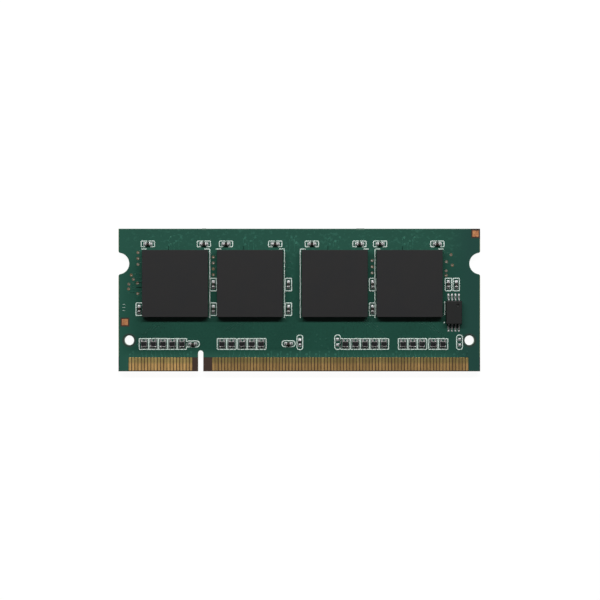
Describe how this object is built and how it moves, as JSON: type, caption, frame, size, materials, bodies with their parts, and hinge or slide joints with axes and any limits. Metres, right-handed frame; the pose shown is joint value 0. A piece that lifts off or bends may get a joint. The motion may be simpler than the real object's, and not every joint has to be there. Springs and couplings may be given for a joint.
{
  "type": "ram module",
  "caption": "Laptop ram module: a small green circuit board with gold edge contacts, a row of square black memory packages, a small settings chip and rows of tiny surface-mount parts.",
  "frame": {"origin": "below the middle of the board, in the plane that the rear capacitors rest on", "axes": "+X along the contact edge towards the settings chip, +Y from the contact edge towards the free edge, +Z out of the front face"},
  "size_m": [0.0676, 0.0266, 0.0027],
  "materials": {
    "laminate": "bare glass-epoxy, slightly translucent",
    "inner_copper": "copper",
    "solder_mask": "dark green, satin",
    "gold_plating": "polished gold",
    "bare_copper": "copper, satin",
    "tinned_land": "tinned copper",
    "solder": "bright solder",
    "black_moulding": "fine matt",
    "package_laminate": "dark green laminate",
    "die_film": "adhesive film",
    "silicon": "ground silicon",
    "tin_terminal": "matt tin",
    "lead_frame": "tinned",
    "capacitor_ceramic": "tan ceramic",
    "white_ceramic": "alumina",
    "black_coating": "glassy black"
  },
  "bodies": {
    "root": {"core_laminate": "laminate", "front_ply": "laminate", "rear_ply": "laminate", "ground_plane": "inner_copper", "power_plane": "inner_copper", "front_solder_mask": "solder_mask", "rear_solder_mask": "solder_mask", "plated_vias": "bare_copper", "front_short_contacts": "gold_plating", "front_long_contacts": "gold_plating", "rear_short_contacts": "gold_plating", "rear_long_contacts": "gold_plating", "alignment_marks": "bare_copper", "front_lands": "tinned_land", "rear_lands": "tinned_land", "front_solder": "solder", "rear_solder": "solder", "dram_1_moulding": "black_moulding", "dram_1_substrate": "package_laminate", "dram_1_die": "silicon", "dram_1_die_film": "die_film", "dram_1_balls": "solder", "dram_2_moulding": "black_moulding", "dram_2_substrate": "package_laminate", "dram_2_die": "silicon", "dram_2_die_film": "die_film", "dram_2_balls": "solder", "dram_3_moulding": "black_moulding", "dram_3_substrate": "package_laminate", "dram_3_die": "silicon", "dram_3_die_film": "die_film", "dram_3_balls": "solder", "dram_4_moulding": "black_moulding", "dram_4_substrate": "package_laminate", "dram_4_die": "silicon", "dram_4_die_film": "die_film", "dram_4_balls": "solder", "eeprom_moulding": "black_moulding", "eeprom_leads": "lead_frame", "eeprom_paddle": "lead_frame", "eeprom_die": "silicon", "front_array_ceramics": "white_ceramic", "front_array_coatings": "black_coating", "front_array_terminals": "tin_terminal", "front_capacitor_ceramics": "capacitor_ceramic", "front_capacitor_terminals": "tin_terminal", "resistor_ceramic": "white_ceramic", "resistor_coating": "black_coating", "resistor_terminals": "tin_terminal", "rear_array_ceramics": "white_ceramic", "rear_array_coatings": "black_coating", "rear_array_terminals": "tin_terminal", "rear_capacitor_ceramics": "capacitor_ceramic", "rear_capacitor_terminals": "tin_terminal"}
  },
  "joints": []
}
